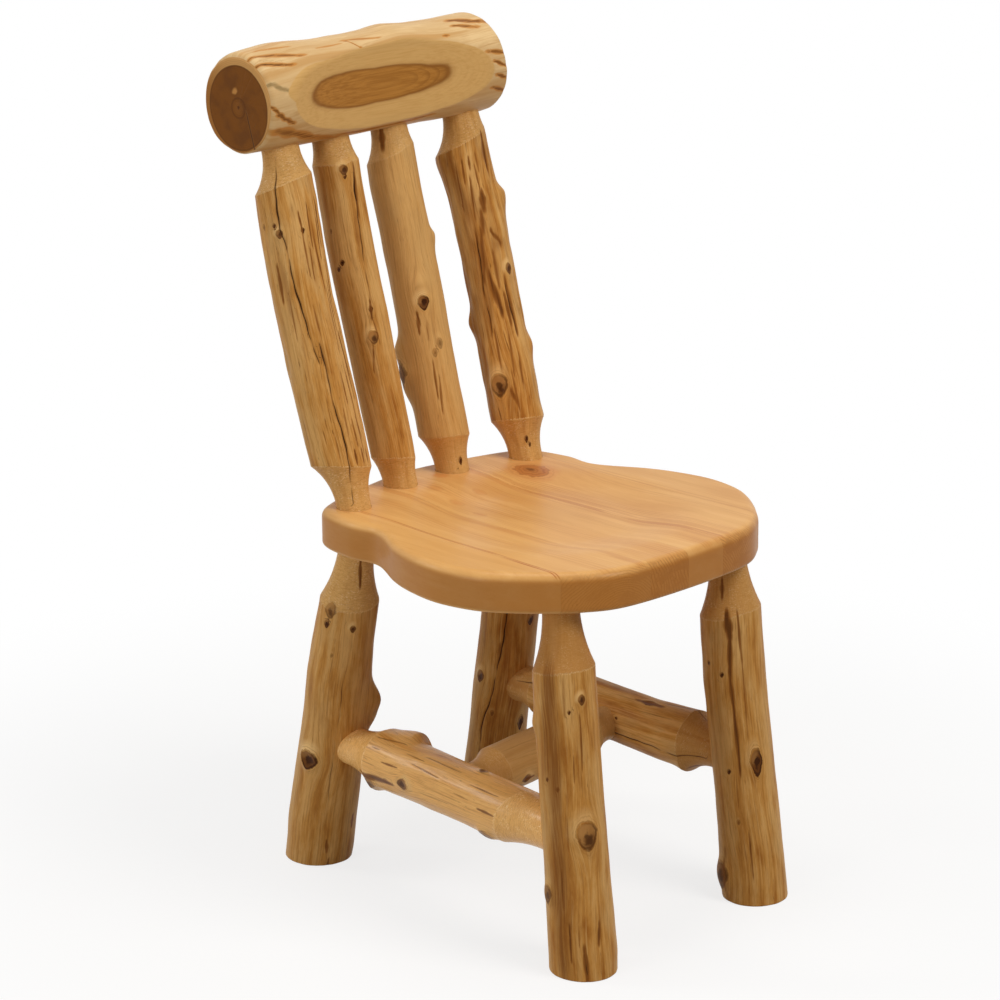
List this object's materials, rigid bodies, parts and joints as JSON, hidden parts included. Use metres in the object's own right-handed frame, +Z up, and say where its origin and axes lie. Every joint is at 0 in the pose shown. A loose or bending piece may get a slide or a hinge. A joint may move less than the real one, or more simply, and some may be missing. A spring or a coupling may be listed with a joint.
{
  "type": "log side chair",
  "caption": "Rustic side chair of peeled logs: round crest rail with a hollowed front, log spindles, dished edge-glued plank seat, splayed log legs and stretchers.",
  "frame": {"origin": "on the floor, under the centre of the chair's bounding box", "axes": "+Z up, the chair faces -Y, +X is the sitter's left"},
  "size_m": [0.454, 0.5837, 0.9685],
  "materials": {
    "rail_log": "satin clear-coated log with dark heartwood",
    "peeled_log": "satin clear-coated peeled log with knots and drying checks",
    "seat_plank": "satin clear-coated edge-glued softwood planks",
    "screw_steel": "dark coated steel"
  },
  "bodies": {
    "root": {"crest_rail": "rail_log", "spindle_right_outer": "peeled_log", "spindle_right_inner": "peeled_log", "spindle_left_inner": "peeled_log", "spindle_left_outer": "peeled_log", "seat_board_1": "seat_plank", "seat_board_2": "seat_plank", "seat_board_3": "seat_plank", "seat_board_4": "seat_plank", "seat_board_5": "seat_plank", "seat_board_6": "seat_plank", "leg_front_right": "peeled_log", "leg_front_left": "peeled_log", "leg_rear_right": "peeled_log", "leg_rear_left": "peeled_log", "side_stretcher_right": "peeled_log", "side_stretcher_left": "peeled_log", "cross_stretcher": "peeled_log", "rail_screws": "screw_steel", "stretcher_screws": "screw_steel"}
  },
  "joints": []
}
